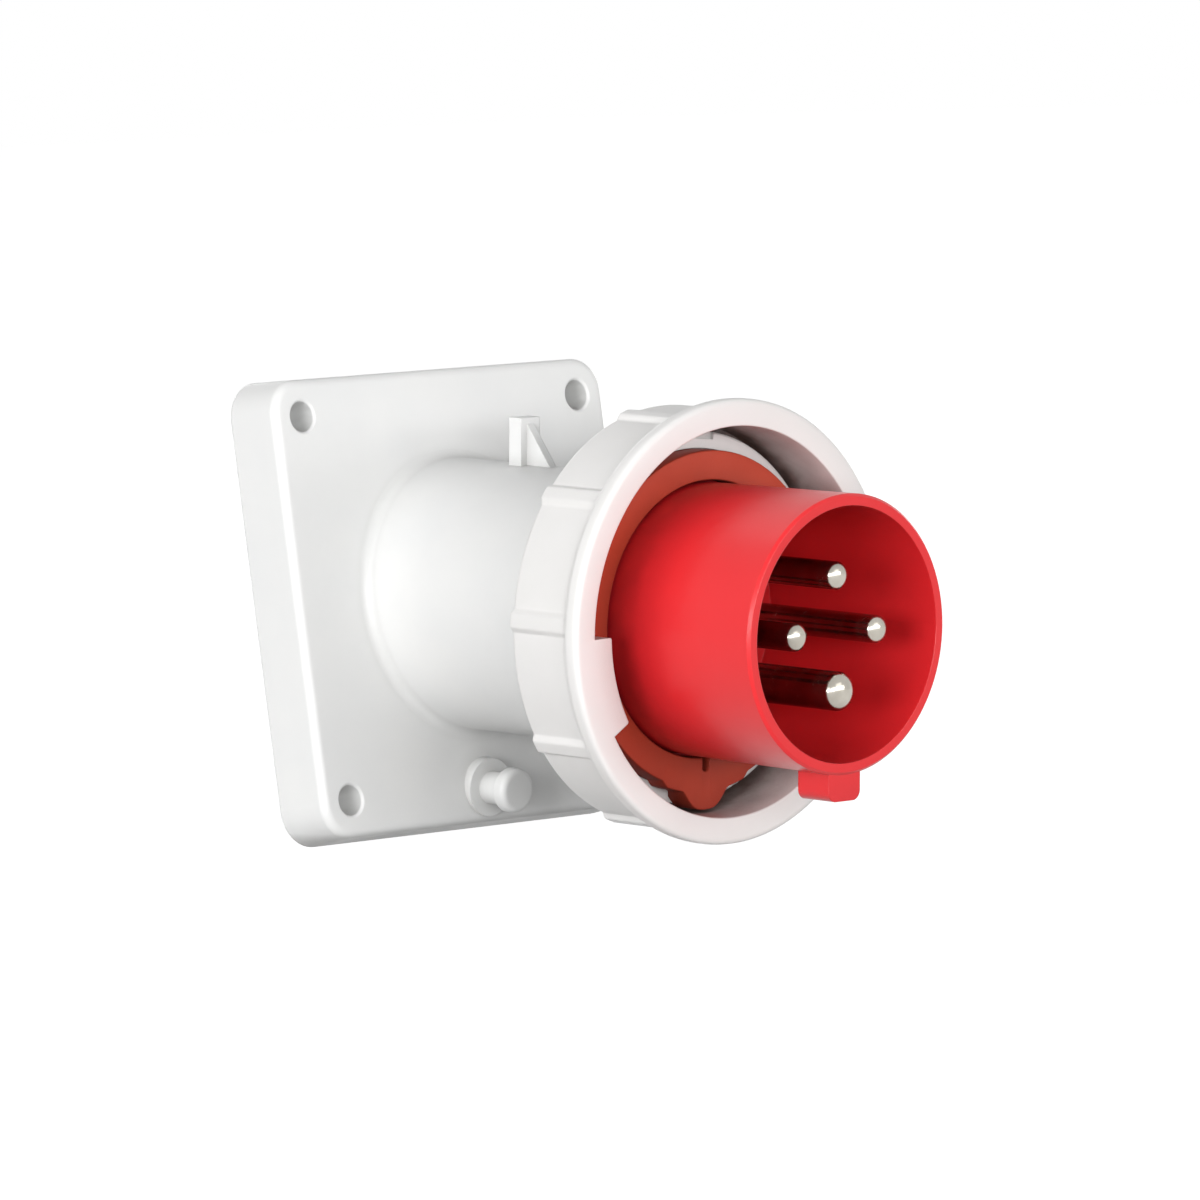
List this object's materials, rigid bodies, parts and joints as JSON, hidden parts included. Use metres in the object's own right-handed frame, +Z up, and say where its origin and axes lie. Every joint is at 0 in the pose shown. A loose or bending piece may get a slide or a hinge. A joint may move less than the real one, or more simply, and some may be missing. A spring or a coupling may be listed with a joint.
{
  "type": "panel inlet plug",
  "caption": "Panel-mounting industrial plug: square flange, sloping neck, round pins in a keyed shroud, and a turning bayonet ring with a face gasket.",
  "frame": {"origin": "centre of the back face of the square flange, on the panel", "axes": "+Y into the panel, so the front faces -Y; +Z up; +X right as seen from the front. The neck slopes 10.7 degrees down."},
  "size_m": [0.085, 0.1107, 0.094],
  "materials": {
    "housing_white": "fine satin moulded surface",
    "ring_white": "fine satin moulded surface",
    "carrier_red": "semi-gloss moulded",
    "gasket_orange": "matt rubber",
    "seal_black": "matt rubber cord",
    "retainer_grey": "moulded",
    "pin_nickel": "nickel-plated brass, bright",
    "screw_steel": "zinc-plated",
    "leaf_steel": "spring strip"
  },
  "bodies": {
    "plug": {"housing": "housing_white", "flange_seal": "seal_black", "contact_carrier": "carrier_red", "face_gasket": "gasket_orange", "pin_retainer": "retainer_grey", "left_phase_pin": "pin_nickel", "left_phase_screw": "screw_steel", "left_phase_leaf": "leaf_steel", "top_phase_pin": "pin_nickel", "top_phase_screw": "screw_steel", "top_phase_leaf": "leaf_steel", "right_phase_pin": "pin_nickel", "right_phase_screw": "screw_steel", "right_phase_leaf": "leaf_steel", "earth_pin": "pin_nickel", "earth_screw": "screw_steel", "earth_leaf": "leaf_steel", "retainer_screw_a": "screw_steel", "carrier_screw_a": "screw_steel", "retainer_screw_b": "screw_steel", "carrier_screw_b": "screw_steel"},
    "ring": {"bayonet_ring": "ring_white"}
  },
  "joints": [
    {"name": "ring_turn", "type": "hinge", "parent": "plug", "child": "ring", "pos_m": [0, -0.011, 0.0004], "axis": [0, -0.9826, -0.1857], "range_deg": [0, 40]}
  ]
}
